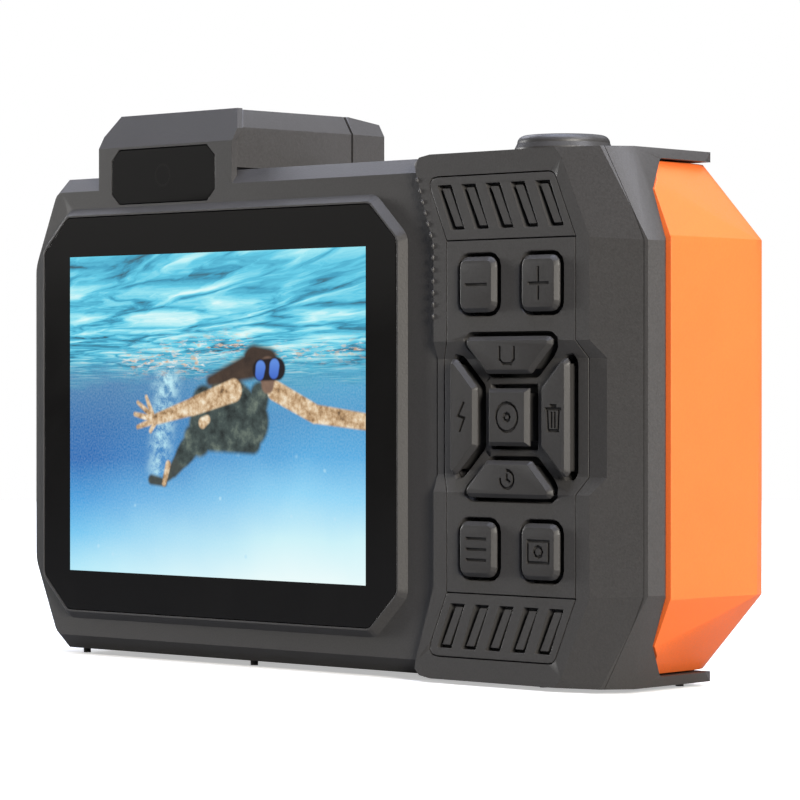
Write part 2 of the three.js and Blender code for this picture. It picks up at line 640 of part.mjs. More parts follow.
function podPieces() {
  const { top, seamY, frontY, left, right, plate, inset } = POD;
  const skin = 1.4;
  const rear = plate + 0.25;
  const outer = prismY(podSection(inset), 0, seamY).subtract(behindRear(rear));
  const hollow = prismY(podSection(inset + skin), 0, seamY + 1).subtract(behindRear(rear + skin));
  const side = skin + inset;
  const below = box(left + side, right - side, rear, seamY + 1, 30, HALF_HEIGHT + skin + 0.6);
  const slope = [[seamY, top], [frontY + 1, top - 1.1], [frontY + 1, 45], [seamY, 45]];
  const frontSlope = prismX(slope, -30, 10);
  const flashOuter = prismY(podSection(inset), seamY + GAP, frontY).subtract(frontSlope);
  const flashHollow = prismY(podSection(inset + skin), seamY - 1, frontY - 2.6);
  const windowEdge = cutRectangle(9.6, 2.3, 0.8, 0.8, (left + right) / 2, 36.2);
  const flashPocket = prismY(grow(windowEdge, 0.12), frontY - 1.4, frontY + 2);
  const flashHole = prismY(grow(windowEdge, -0.8), frontY - 5, frontY);
  const reflector = box(left + 6.2, right - 6.2, seamY + 1, frontY - 3.0, 34.2, 37.3)
    .subtract(box(left + 6.9, right - 6.9, seamY + 2.2, frontY, 34.9, 36.7));
  return [
    toMesh('pod_cover', outer.subtract(hollow).subtract(below), 'charcoal'),
    toMesh('flash_housing', subtractAll(flashOuter, [flashHollow, flashPocket, flashHole]), 'charcoal'),
    toMesh('pod_window', prismY(podWindowOutline(0), PLATE_Y + 0.03, PLATE_Y + 1.05), 'glass'),
    toMesh('flash_window', prismY(windowEdge, frontY - 1.1, frontY - 0.05), 'clear'),
    toMesh('flash_reflector', reflector, 'metal'),
  ];
}

// ---------- lens ----------

function lensPieces() {
  const { x, z, ring, barrel, window, frontY } = LENS;
  const ringBody = [
    [barrel + 0.4, FRONT_Y + GAP], [ring, FRONT_Y + GAP], [ring, 25], [ring - 1.2, frontY - 1.2],
    [ring - 2.4, frontY], [window + 1.2, frontY], [window + 0.4, frontY - 1.0], [window + 0.4, 31.3],
    [barrel + 0.4, 31.3], [barrel + 0.4, FRONT_Y + GAP],
  ];
  const group = [
    [0, 15.0], [7.5, 15.6], [7.5, 17.4], [5.4, 18.4], [5.4, 21.2], [8.6, 23.4], [8.6, 25.2], [6, 26.2],
    [0, 27.0],
  ];
  return [
    toMesh('lens_ring', turnedY(ringBody, x, z, 48), 'charcoal'),
    toMesh('lens_barrel', turnedY(ringProfile(barrel - 1.6, barrel, 12.4, 31.0), x, z, 36), 'module'),
    toMesh('lens_window', turnedY(discProfile(window, 31.4, 32.4), x, z, 36), 'clear'),
    toMesh('lens_group', turnedY(group, x, z, 32), 'clear'),
    toMesh('image_sensor', box(x - 5, x + 5, 9.9, 11.4, z - 4, z + 4), 'module'),
  ];
}

// ---------- top controls ----------

function shutterPieces() {
  const { x, y, radius, top, stem } = SHUTTER;
  const button = [
    [0, 27.5], [stem, 27.5], [stem, 31.6], [radius, 31.6], [radius, top - 0.9], [radius - 0.25, top - 0.45],
    [radius - 1.0, top - 0.12], [radius - 2.2, top], [0, top - 0.05],
  ];
  const collar = [
    [stem + 0.2, 28.0], [radius + 1.2, 28.0], [radius + 1.2, 30.0], [stem + 0.2, 30.0], [stem + 0.2, 28.0],
  ];
  return [
    toMesh('shutter_button', turnedZ(button, x, y, 36), 'keys'),
    toMesh('shutter_collar', turnedZ(collar, x, y), 'rubber'),
    toMesh('shutter_switch', box(x - 3, x + 3, y - 3, y + 3, 24.2, 26.0), 'module'),
  ];
}

function powerButton() {
  const { x, y, radius, stem } = POWER;
  const profile = [
    [0, 26.5], [stem, 26.5], [stem, 29.2], [radius + 0.8, 29.2], [radius + 0.8, 29.8], [radius, 29.8],
    [radius, HALF_HEIGHT - 0.25], [radius - 0.25, HALF_HEIGHT], [0, HALF_HEIGHT],
  ];
  return toMesh('power_button', turnedZ(profile, x, y, SMALL_ROUND), 'orange');
}

// ---------- battery door ----------

function hingePin(radius, y0, y1) {
  return turnedY(discProfile(radius, y0, y1), DOOR.left, DOOR.pinZ, SMALL_ROUND);
}

function doorPieces() {
  const { left, right, rear, front, pinZ } = DOOR;
  const knuckle = turnedY(discProfile(0.95, rear, front), left, pinZ, SMALL_ROUND);
  const plate = box(left, right, rear, front, -GRIP_HALF, pinZ + 0.25);
  const latchPocket = box(53.0, 61.4, 9.3, 15.7, -33, -31.4);
  const door = plate.add(knuckle).subtract(latchPocket).subtract(hingePin(DOOR.pinRadius + 0.05, 0, 30));
  const sealOutline = roundedRectangle(8.2, 5.0, 1.2, 53.5, 12.6);
  const seal = prismZ(sealOutline, pinZ + 0.55, -29.4).subtract(prismZ(grow(sealOutline, -1.0), -32, -29));
  const ribs = [57.2, 58.4, 59.6].map((x) => box(x, x + 0.6, 10.1, 14.9, -GRIP_HALF + 0.05, -31.8));
  const pad = box(56.2, 61.2, 9.5, 15.5, -31.95, -31.55);
  return [
    toMesh('battery_door', door, 'charcoal'),
    toMesh('door_hinge_pin', hingePin(DOOR.pinRadius, DOOR.rear - 1.2, DOOR.front + 1.3), 'metal'),
    toMesh('door_latch', ribs.reduce((solid, rib) => solid.add(rib), pad), 'orange'),
    toMesh('door_seal', seal, 'rubber'),
    toMesh('battery', box(45, 62, 7.4, 17.8, -28.4, 12), 'module'),
    toMesh('memory_card', box(42.9, 43.8, 8, 19, -28, -13), 'module'),
  ];
}

// ---------- inside and fittings ----------

function insidePieces() {
  const gasketEdge = grow(bodyOutline(36.5), -WALL - 0.3);
  const gasket = prismY(gasketEdge, 10.2, 12.2).subtract(prismY(grow(gasketEdge, -0.9), 9, 14));
  return [
    toMesh('body_gasket', gasket, 'rubber'),
    toMesh('main_board', prismY(rectangle(32.5, 25, 2.5, 0), 8.0, 9.2), 'board'),
    toMesh('flash_capacitor', turnedZ(discProfile(3.2, -11, 11), 38.4, 13.7), 'module'),
    toMesh('speaker', turnedY(discProfile(4.6, 6.5, 7.1), 50.5, -24.4), 'module'),
  ];
}

function tripodBushing() {
  const { x, y, flange, thread } = TRIPOD;
  const profile = [
    [0, -23.5], [0, -24.5], [thread, -24.5], [thread, -BASE + 0.4],
    [thread + 0.4, -BASE], [flange, -BASE], [flange, -31.3], [3.6, -31.3],
    [3.6, -23.5],
  ];
  const closed = [...profile, profile[0]];
  return toMesh('tripod_bushing', turnedZ(closed, x, y), 'metal');
}

function strapLug() {
  const outline = [[LEFT - 0.3, 14], [LEFT - 0.3, 19], [LEFT - 2.6, 18.2], [LEFT - 2.6, 14.8]];
  const slot = [[LEFT - 0.9, 15], [LEFT - 0.9, 18], [LEFT - 1.8, 17.6], [LEFT - 1.8, 15.4]];
  const lug = prismZ(outline, 11, 15.5).subtract(prismZ(slot, 10, 17));
  return toMesh('strap_lug', lug, 'metal');
}

function caseScrews() {
  return CASE_SCREWS.map(([x, z], i) => {
    const head = [[0, 13.5], [0.9, 13.5], [0.9, 20.3], [1.75, 20.3], [1.75, 21.0], [1.4, 21.3], [0, 21.3]];
    const socket = turnedY(discProfile(0.75, 20.6, 22), x, z, 6);
    return toMesh(`case_screw_${i + 1}`, turnedY(head, x, z, SMALL_ROUND).subtract(socket), 'metal');
  });
}

// ---------- the camera ----------

const camera = new THREE.Group();
camera.add(
  toMesh('rear_shell', rearShell(), 'charcoal'),
  toMesh('front_shell', frontShell(), 'charcoal'),
  ...gripPieces(),
  ...keyPieces(),
  ...displayPieces(),
  ...podPieces(),
  ...lensPieces(),
  ...shutterPieces(),
  powerButton(),
  ...doorPieces(),
  ...insidePieces(),
  tripodBushing(),
  strapLug(),
  ...caseScrews(),
);

const bounds = new THREE.Box3().setFromObject(camera);
const middle = bounds.getCenter(new THREE.Vector3());
camera.position.set(-middle.x, -middle.y, -bounds.min.z);

export default camera;
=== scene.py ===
import json
import math

import bmesh
import bpy
from mathutils import Matrix, Vector


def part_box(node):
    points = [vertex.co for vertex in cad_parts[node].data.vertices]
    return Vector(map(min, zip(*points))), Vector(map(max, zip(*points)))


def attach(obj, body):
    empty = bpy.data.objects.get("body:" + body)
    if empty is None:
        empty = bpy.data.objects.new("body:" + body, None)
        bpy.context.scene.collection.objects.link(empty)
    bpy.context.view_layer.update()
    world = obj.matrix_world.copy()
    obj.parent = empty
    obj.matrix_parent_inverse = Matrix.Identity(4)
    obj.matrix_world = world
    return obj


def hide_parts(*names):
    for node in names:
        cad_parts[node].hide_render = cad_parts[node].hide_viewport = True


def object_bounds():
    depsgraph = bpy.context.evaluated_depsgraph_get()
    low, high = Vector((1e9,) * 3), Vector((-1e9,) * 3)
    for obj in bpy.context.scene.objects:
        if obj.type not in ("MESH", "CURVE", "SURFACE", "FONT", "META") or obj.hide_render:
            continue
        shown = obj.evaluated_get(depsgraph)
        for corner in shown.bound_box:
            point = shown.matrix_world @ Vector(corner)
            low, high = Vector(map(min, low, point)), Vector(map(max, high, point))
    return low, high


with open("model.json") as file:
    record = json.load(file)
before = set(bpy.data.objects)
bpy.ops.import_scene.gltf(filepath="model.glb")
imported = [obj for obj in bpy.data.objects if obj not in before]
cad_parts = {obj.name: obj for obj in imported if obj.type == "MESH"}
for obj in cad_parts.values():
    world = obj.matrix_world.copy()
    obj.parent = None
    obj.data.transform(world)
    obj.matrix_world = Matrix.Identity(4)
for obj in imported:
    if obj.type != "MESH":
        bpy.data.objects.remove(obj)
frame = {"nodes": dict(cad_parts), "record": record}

# A rugged compact camera, seen from behind and to the right of its rear display. Metres, in the row frame:
# +X towards the hand grip, +Y forwards out of the lens, +Z up.

CAD_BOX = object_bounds()
MM = 0.001
RECORD = frame["record"]
BODY_OF = {node: body for body, nodes in RECORD["behaviour"]["bodies"].items() for node in nodes}
SLOT_OF = {part["node"]: part["material_slot"] for part in RECORD["subparts"]}


# ---------- places that come from the frame ----------

def centre(node):
    low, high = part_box(node)
    return (low + high) / 2


GLASS_LOW, GLASS_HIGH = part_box("display_glass")
EYE = Vector(((GLASS_LOW.x + GLASS_HIGH.x) / 2, GLASS_LOW.y, (GLASS_LOW.z + GLASS_HIGH.z) / 2))


# ---------- shader nodes ----------

class Shader:
    """A material's node tree, built node by node."""

    def __init__(self, name):
        self.material = bpy.data.materials.new(name)
        self.material.use_nodes = True
        self.tree = self.material.node_tree
        self.tree.nodes.clear()

    def add(self, kind, inputs=None, **settings):
        node = self.tree.nodes.new(kind)
        for key, value in settings.items():
            setattr(node, key, value)
        for key, value in (inputs or {}).items():
            socket = node.inputs[key]
            if isinstance(value, bpy.types.NodeSocket):
                self.tree.links.new(value, socket)
            else:
                socket.default_value = value
        return node

    def place(self):
        return self.add("ShaderNodeTexCoord").outputs["Object"]

    def noise(self, vector, scale, detail=2.0, roughness=0.5, distortion=0.0):
        node = self.add("ShaderNodeTexNoise", {
            "Vector": vector, "Scale": scale, "Detail": detail,
            "Roughness": roughness, "Distortion": distortion,
        })
        return node.outputs["Fac"]

    def stretched_noise(self, vector, stretch, detail, roughness, turn=0.0):
        mapping = self.add("ShaderNodeMapping", {
            "Vector": vector, "Scale": stretch, "Rotation": (0.0, 0.0, turn),
        })
        return self.noise(mapping.outputs["Vector"], 1.0, detail=detail, roughness=roughness)

    def math(self, operation, a, b=0.0, clamp=False):
        return self.add("ShaderNodeMath", {0: a, 1: b}, operation=operation, use_clamp=clamp).outputs[0]

    def spread(self, value, low, high, to_low=0.0, to_high=1.0, smooth=False):
        kind = "SMOOTHSTEP" if smooth else "LINEAR"
        node = self.add("ShaderNodeMapRange", {
            "Value": value, "From Min": low, "From Max": high, "To Min": to_low, "To Max": to_high,
        }, interpolation_type=kind)
        return node.outputs["Result"]

    def mix(self, factor, a, b, blend="MIX"):
        node = self.add("ShaderNodeMix", {0: factor, 6: a, 7: b}, data_type="RGBA", blend_type=blend)
        return node.outputs[2]

    def ramp(self, value, stops):
        node = self.add("ShaderNodeValToRGB", {"Fac": value})
        elements = node.color_ramp.elements
        while len(elements) < len(stops):
            elements.new(0.5)
        for element, (position, color) in zip(elements, stops):
            element.position = position
            element.color = color
        return node.outputs["Color"]

    def bump(self, height, distance):
        node = self.add("ShaderNodeBump", {"Height": height, "Distance": distance, "Strength": 1.0})
        return node.outputs["Normal"]

    def vector(self, operation, a, b=(0.0, 0.0, 0.0)):
        node = self.add("ShaderNodeVectorMath", {0: a, 1: b}, operation=operation)
        return node.outputs["Value" if operation in ("DOT_PRODUCT", "LENGTH") else "Vector"]

    def capsule(self, place, start, end, start_radius, end_radius):
        """Distance from a flat round-ended limb, below 0 inside it."""
        a, b = Vector((*start, 0.0)), Vector((*end, 0.0))
        along = b - a
        away = self.vector("SUBTRACT", place, tuple(a))
        share = self.vector("DOT_PRODUCT", away, tuple(along / along.length_squared))
        share = self.math("ADD", share, 0.0, clamp=True)
        scale = self.add("ShaderNodeVectorMath", {0: tuple(along), "Scale": share}, operation="SCALE")
        gap = self.vector("LENGTH", self.vector("SUBTRACT", away, scale.outputs["Vector"]))
        radius = self.spread(share, 0.0, 1.0, start_radius, end_radius)
        return self.math("SUBTRACT", gap, radius)

    def limbs(self, place, capsules):
        """Distance from the nearest of several limbs."""
        nearest = self.capsule(place, *capsules[0])
        for capsule in capsules[1:]:
            nearest = self.math("MINIMUM", nearest, self.capsule(place, *capsule))
        return nearest

    def inside(self, distance, softness):
        """1 inside a shape and 0 outside it, with a soft edge."""
        return self.spread(distance, -softness, softness, 1.0, 0.0, smooth=True)

    def surface(self, shader):
        self.add("ShaderNodeOutputMaterial", {"Surface": shader})
        return self.material


def rgba(red, green, blue):
    return (red, green, blue, 1.0)


def srgb(red, green, blue):
    """A colour given in display values from 11 to 255."""
    return rgba(*(((value / 255 + 0.055) / 1.055) ** 2.4 for value in (red, green, blue)))


def scaled(color, factor):
    return rgba(*(min(1.0, channel * factor) for channel in color[:3]))


# ---------- materials ----------

def moulded_plastic(name, color, roughness, grain, mottle=0.10, specular=0.5):
    """Spark-eroded plastic: a fine grain that shows as specks, and a slower drift of colour and gloss."""
    shader = Shader(name)
    place = shader.place()
    fine = shader.noise(place, 3800.0, detail=3.0, roughness=0.6)
    slow = shader.noise(place, 130.0, detail=2.0)
    specks = shader.spread(fine, 0.35, 0.68)
    tint = shader.mix(specks, scaled(color, 1 - mottle), scaled(color, 1 + mottle))
    drift = shader.mix(slow, rgba(0.94, 0.94, 0.94), rgba(1.05, 1.05, 1.05))
    base = shader.mix(1.0, tint, drift, blend="MULTIPLY")
    gloss = shader.spread(fine, 0.3, 0.7, roughness - 0.06, roughness + 0.08)
    normal = shader.bump(fine, grain)
    return shader.surface(shader.add("ShaderNodeBsdfPrincipled", {
        "Base Color": base, "Roughness": gloss, "Normal": normal, "Specular IOR Level": specular,
    }).outputs[0])


def smooth_plastic(name, color, roughness, specular=0.5):
    """Polished moulding, with faint waves and dust-fine changes of gloss."""
    shader = Shader(name)
    place = shader.place()
    waves = shader.noise(place, 420.0, detail=2.0)
    dust = shader.noise(place, 5200.0, detail=2.0)
    base = shader.mix(dust, scaled(color, 0.94), scaled(color, 1.06))
    gloss = shader.spread(dust, 0.3, 0.7, roughness - 0.05, roughness + 0.05)
    return shader.surface(shader.add("ShaderNodeBsdfPrincipled", {
        "Base Color": base, "Roughness": gloss, "Normal": shader.bump(waves, 0.00001),
        "Specular IOR Level": specular,
    }).outputs[0])


def rubber(name, color):
    shader = Shader(name)
    place = shader.place()
    pores = shader.noise(place, 2600.0, detail=4.0)
    bloom = shader.noise(place, 160.0, detail=3.0)
    base = shader.mix(bloom, scaled(color, 0.85), scaled(color, 1.35))
    return shader.surface(shader.add("ShaderNodeBsdfPrincipled", {
        "Base Color": base, "Roughness": shader.spread(pores, 0.3, 0.7, 0.68, 0.9),
        "Normal": shader.bump(pores, 0.00004), "Specular IOR Level": 0.35,
    }).outputs[0])


def satin_metal(name, color, roughness):
    """Turned metal: fine streaks around the height, and light scratches."""
    shader = Shader(name)
    place = shader.place()
    streaks = shader.stretched_noise(place, (300.0, 300.0, 5200.0), detail=3.0, roughness=0.5)
    stains = shader.noise(place, 240.0, detail=3.0)
    base = shader.mix(stains, scaled(color, 0.86), scaled(color, 1.08))
    return shader.surface(shader.add("ShaderNodeBsdfPrincipled", {
        "Base Color": base, "Roughness": shader.spread(streaks, 0.3, 0.7, roughness - 0.08, roughness + 0.1),
        "Normal": shader.bump(streaks, 0.000015), "Metallic": 1.0,
    }).outputs[0])


def circuit_board(name):
    shader = Shader(name)
    place = shader.place()
    traces = shader.add("ShaderNodeTexBrick", {
        "Vector": place, "Scale": 320.0, "Mortar Size": 0.04,
        "Color1": rgba(0.012, 0.09, 0.04), "Color2": rgba(0.016, 0.11, 0.05),
        "Mortar": rgba(0.05, 0.22, 0.08),
    })
    cloud = shader.noise(place, 200.0)
    return shader.surface(shader.add("ShaderNodeBsdfPrincipled", {
        "Base Color": traces.outputs["Color"], "Roughness": shader.spread(cloud, 0.3, 0.7, 0.3, 0.45),
    }).outputs[0])


def black_glass(name):
    """The printed border behind the cover glass, with the faint smears of a handled screen."""
    shader = Shader(name)
    place = shader.place()
    smear = shader.noise(place, 90.0, detail=3.0, distortion=0.6)
    tint = shader.mix(smear, rgba(0.010, 0.0096, 0.0094), rgba(0.014, 0.0135, 0.013))
    return shader.surface(shader.add("ShaderNodeBsdfPrincipled", {
        "Base Color": tint, "Roughness": shader.spread(smear, 0.3, 0.7, 0.08, 0.16),
        "Specular IOR Level": 0.2,
    }).outputs[0])


def clear_glass(name, tint, reflection):
    """A thin coated pane: see-through, with a coloured reflection that grows towards the edges."""
    shader = Shader(name)
    place = shader.place()
    coating = shader.noise(place, 60.0)
    color = shader.mix(coating, scaled(tint, 0.9), scaled(tint, 1.1))
    gloss = shader.add("ShaderNodeBsdfGlossy", {"Color": color, "Roughness": 0.03}).outputs[0]
    through = shader.add("ShaderNodeBsdfTransparent", {"Color": rgba(0.93, 0.95, 0.97)}).outputs[0]
    rim = shader.add("ShaderNodeFresnel", {"IOR": reflection}).outputs[0]
    return shader.surface(shader.add("ShaderNodeMixShader", {0: rim, 1: through, 2: gloss}).outputs[0])


# The display's sample picture: a swimmer in a diving mask below the sea's surface. Places are in picture
# heights from its lower left corner. A limb is (start, end, radius at the start, radius at the end).
HAIR = [((0.855, 0.665), (0.915, 0.66), 0.05, 0.046), ((0.66, 0.605), (0.84, 0.65), 0.018, 0.042)]
FACE = [((0.915, 0.635), (0.915, 0.592), 0.042, 0.027)]
MASK = [((0.882, 0.637), (0.957, 0.640), 0.033, 0.035)]
LENSES = [((0.884, 0.645), (0.880, 0.625), 0.021, 0.019), ((0.945, 0.650), (0.942, 0.630), 0.021, 0.020)]
VEST = [
    ((0.73, 0.565), (0.84, 0.48), 0.070, 0.080), ((0.63, 0.54), (0.61, 0.425), 0.052, 0.055),
    ((0.88, 0.56), (0.84, 0.435), 0.042, 0.050), ((0.72, 0.50), (0.74, 0.435), 0.080, 0.050),
    ((0.60, 0.43), (0.54, 0.375), 0.048, 0.035), ((0.58, 0.43), (0.85, 0.415), 0.040, 0.034),
    ((0.66, 0.50), (0.84, 0.50), 0.060, 0.050),
]
LEGS = [
    ((0.55, 0.385), (0.49, 0.325), 0.036, 0.022), ((0.49, 0.325), (0.455, 0.30), 0.020, 0.014),
    ((0.45, 0.288), (0.39, 0.296), 0.013, 0.016),
]
SKIN = [
    ((0.765, 0.575), (0.58, 0.525), 0.036, 0.029), ((0.58, 0.525), (0.41, 0.485), 0.028, 0.018),
    ((0.40, 0.485), (0.365, 0.555), 0.012, 0.006), ((0.40, 0.49), (0.325, 0.537), 0.012, 0.006),
    ((0.40, 0.485), (0.312, 0.500), 0.012, 0.007), ((0.40, 0.48), (0.325, 0.460), 0.012, 0.007),
    ((0.41, 0.48), (0.385, 0.448), 0.011, 0.007), ((0.945, 0.575), (1.12, 0.505), 0.032, 0.030),
    ((1.12, 0.505), (1.36, 0.480), 0.029, 0.025), ((0.467, 0.345), (0.448, 0.285), 0.012, 0.009),
    ((0.645, 0.485), (0.625, 0.475), 0.014, 0.018),
]
BUBBLES = [((0.46, 0.60), (0.42, 0.33), 0.050, 0.030)]
GLINTS = [
    ((0.28, 0.665), (0.62, 0.665), 0.018, 0.028), ((0.45, 0.70), (0.80, 0.72), 0.012, 0.022),
    ((0.96, 0.685), (1.34, 0.70), 0.008, 0.014),
]
HORIZON = 0.52


def sea_surface(shader, across, up):
    """The surface from below, in perspective: pale patches of sky parted by thin darker lines."""
    height = shader.math("MAXIMUM", shader.math("SUBTRACT", up, HORIZON), 0.05)
    nearness = shader.math("DIVIDE", 1.0, height)
    side = shader.math("MULTIPLY", shader.math("SUBTRACT", across, 0.72), nearness)
    tilt = shader.math("MULTIPLY", across, 1.1)
    laid = shader.add("ShaderNodeCombineXYZ", {
        "X": shader.math("MULTIPLY", side, 0.42), "Y": shader.math("ADD", nearness, tilt),
    }).outputs[0]
    wander = shader.spread(shader.noise(laid, 1.3, detail=4.0), 0.0, 1.0, -0.6, 0.6)
    both = shader.add("ShaderNodeCombineXYZ", {"X": wander, "Y": wander}).outputs[0]
    laid = shader.vector("ADD", laid, both)
    edges = shader.add("ShaderNodeTexVoronoi", {"Vector": laid, "Scale": 1.9}, feature="DISTANCE_TO_EDGE")
    patches = shader.math("MULTIPLY", edges.outputs["Distance"], 0.85)
    ripple = shader.math("MULTIPLY", shader.noise(laid, 5.5, detail=5.0, roughness=0.65), 0.55)
    swell = shader.spread(shader.noise(laid, 0.9, detail=2.0), 0.3, 0.7, -0.16, 0.16)
    depth = shader.math("ADD", shader.math("ADD", patches, ripple), swell)
    sky = shader.ramp(depth, [
        (0.14, srgb(58, 100, 118)), (0.24, srgb(64, 160, 194)), (0.36, srgb(98, 204, 232)),
        (0.50, srgb(160, 234, 246)), (0.66, srgb(222, 252, 252)),
    ])
    return shader.mix(shader.spread(up, 0.60, 0.72, 0.62, 0.0), sky, srgb(66, 142, 176))


def sea_water(shader, place, across, up):
    """Open water, deepest at the left and pale over the sand below."""
    cloud = shader.noise(place, 2.2, detail=3.0)
    level = shader.math("ADD", up, shader.spread(cloud, 0.0, 1.0, -0.07, 0.07))
    deep = shader.ramp(level, [
        (0.00, srgb(170, 232, 251)), (0.11, srgb(104, 196, 242)), (0.22, srgb(64, 158, 222)),
        (0.36, srgb(22, 104, 180)), (0.47, srgb(40, 110, 176)), (0.62, srgb(76, 132, 178)),
    ])
    bright = shader.ramp(level, [
        (0.00, srgb(236, 253, 253)), (0.12, srgb(206, 244, 251)), (0.25, srgb(144, 214, 248)),
        (0.38, srgb(84, 172, 226)), (0.50, srgb(74, 154, 206)), (0.64, srgb(80, 170, 206)),
    ])
    share = shader.math("SUBTRACT", shader.math("MULTIPLY", across, 0.85), shader.math("MULTIPLY", up, 0.5))
    water = shader.mix(shader.spread(share, -0.1, 0.75), deep, bright)
    grain = shader.noise(place, 150.0, detail=2.0)
    return shader.mix(shader.spread(grain, 0.3, 0.75, 0.0, 0.14), water, srgb(225, 246, 255))


def with_bubbles(shader, place, up, picture):
    """A rising column of froth by the swimmer, and motes drifting in the water below."""
    froth = shader.spread(shader.noise(place, 19.0, detail=6.0, roughness=0.75), 0.42, 0.60)
    column = shader.inside(shader.limbs(place, BUBBLES), 0.045)
    picture = shader.mix(shader.math("MULTIPLY", column, froth), picture, srgb(196, 240, 250))
    cells = shader.add("ShaderNodeTexVoronoi", {"Vector": place, "Scale": 14.0}, feature="F1")
    motes = shader.spread(cells.outputs["Distance"], 0.05, 0.12, 0.7, 0.0)
    motes = shader.math("MULTIPLY", motes, shader.spread(up, 0.42, 0.3))
    return shader.mix(motes, picture, srgb(190, 232, 250))


def with_glints(shader, place, picture):
    """Sparks of warm and white light where the surface breaks behind the swimmer."""
    sparks = shader.stretched_noise(place, (24.0, 95.0, 1.0), detail=4.0, roughness=0.65, turn=-0.1)
    sparks = shader.spread(sparks, 0.50, 0.60, 0.0, 0.95)
    band = shader.inside(shader.limbs(place, GLINTS), 0.05)
    warmth = shader.spread(shader.noise(place, 30.0), 0.4, 0.6)
    color = shader.mix(warmth, srgb(236, 176, 120), srgb(255, 252, 244))
    return shader.mix(shader.math("MULTIPLY", band, sparks), picture, color)


def with_swimmer(shader, place, up, picture):
    """A swimmer built up from limbs, each layer over the one before."""
    mottle = shader.noise(place, 17.0, detail=5.0, roughness=0.6)
    fine = shader.noise(place, 60.0, detail=3.0)
    tone = shader.math("ADD", shader.math("MULTIPLY", mottle, 0.65), shader.math("MULTIPLY", fine, 0.35))
    skin = shader.ramp(tone, [
        (0.34, srgb(112, 88, 64)), (0.44, srgb(184, 150, 112)), (0.53, srgb(222, 194, 158)),
        (0.64, srgb(250, 238, 214)),
    ])
    cloth = shader.ramp(mottle, [
        (0.32, srgb(40, 46, 46)), (0.52, srgb(72, 84, 82)), (0.72, srgb(122, 134, 122)),
    ])
    glass = shader.ramp(shader.spread(up, 0.60, 0.66), [(0.0, srgb(58, 96, 196)), (1.0, srgb(96, 142, 226))])
    layers = [
        (LEGS, 0.007, shader.mix(fine, srgb(52, 60, 66), srgb(86, 92, 84))),
        (VEST, 0.010, cloth),
        (HAIR, 0.012, shader.mix(mottle, srgb(28, 26, 28), srgb(92, 74, 62))),
        (SKIN, 0.005, skin),
        (FACE, 0.006, shader.mix(mottle, srgb(84, 70, 64), srgb(160, 128, 108))),
        (MASK, 0.005, srgb(36, 32, 36)),
        (LENSES, 0.004, glass),
    ]
    for limbs, softness, color in layers:
        picture = shader.mix(shader.inside(shader.limbs(place, limbs), softness), picture, color)
    return picture


def sea_picture(name):
    """The lit picture of the display, painted in the flat coordinates of its panel."""
    shader = Shader(name)
    place = shader.add("ShaderNodeUVMap", uv_map="picture").outputs["UV"]
    across, up, _ = shader.add("ShaderNodeSeparateXYZ", {"Vector": place}).outputs
    torn = shader.stretched_noise(place, (4.0, 16.0, 1.0), detail=5.0, roughness=0.6)
    edge = shader.math("ADD", up, shader.spread(torn, 0.0, 1.0, -0.11, 0.11))
    above = shader.spread(edge, 0.57, 0.68, smooth=True)
    picture = shader.mix(above, sea_water(shader, place, across, up), sea_surface(shader, across, up))
    picture = with_bubbles(shader, place, up, picture)
    picture = with_glints(shader, place, picture)
    picture = with_swimmer(shader, place, up, picture)
    return shader.surface(shader.add("ShaderNodeBsdfPrincipled", {
        "Base Color": rgba(0.01, 0.01, 0.01), "Roughness": 0.12, "Specular IOR Level": 0.2,
        "Emission Color": picture, "Emission Strength": 0.97,
    }).outputs[0])


def window_glass(name, middle):
    """Black glass in the pod, with the faint ring of what lies behind it."""
    shader = Shader(name)
    place = shader.place()
    reach = shader.vector("LENGTH", shader.vector("SUBTRACT", place, tuple(middle)))
    ring = shader.math("ABSOLUTE", shader.math("SUBTRACT", reach, 1.5 * MM))
    faint = shader.spread(ring, 0.05 * MM, 0.25 * MM, 1.0, 0.0, smooth=True)
    smear = shader.noise(place, 90.0, detail=3.0, distortion=0.6)
    tint = shader.mix(faint, rgba(0.0085, 0.0082, 0.0080), rgba(0.012, 0.0115, 0.011))
    return shader.surface(shader.add("ShaderNodeBsdfPrincipled", {
        "Base Color": tint, "Roughness": shader.spread(smear, 0.3, 0.7, 0.10, 0.18),
        "Specular IOR Level": 0.25,
    }).outputs[0])


CHARCOAL = rgba(0.059, 0.0565, 0.0550)
ORANGE = rgba(0.95, 0.18, 0.034)

MATERIALS = {
    "charcoal": moulded_plastic("charcoal_grain", CHARCOAL, 0.46, 0.00002),
    "keys": moulded_plastic("key_grain", scaled(CHARCOAL, 0.8), 0.42, 0.00001, mottle=0.07),
    "orange": moulded_plastic("orange_grain", ORANGE, 0.5, 0.00002, mottle=0.05),
    "black_glass": black_glass("black_glass"),
    "pod_glass": window_glass("pod_glass", centre("pod_window")),
    "picture": sea_picture("sea_picture"),
    "rubber": rubber("black_rubber", rgba(0.02, 0.02, 0.02)),
    "metal": satin_metal("satin_metal", rgba(0.6, 0.61, 0.63), 0.3),
    "board": circuit_board("solder_mask"),
    "module": smooth_plastic("dark_module", rgba(0.03, 0.032, 0.036), 0.35),
    "lens": smooth_plastic("coated_lens", rgba(0.016, 0.014, 0.030), 0.10, specular=0.9),
    "lens_coating": clear_glass("lens_coating", rgba(0.55, 0.75, 1.0), 1.5),
    "clear": clear_glass("clear_window", rgba(0.95, 0.97, 1.0), 1.35),
}

SLOT_MATERIAL = {
    "charcoal_plastic": "charcoal", "key_plastic": "keys", "orange_plastic": "orange",
    "display_glass": "black_glass", "lens_glass": "lens_coating", "seal_rubber": "rubber",
    "bare_metal": "metal", "circuit_board": "board", "dark_module": "module", "flash_lens": "clear",
}

NODE_MATERIAL = {"pod_window": "pod_glass"}


# ---------- meshes ----------

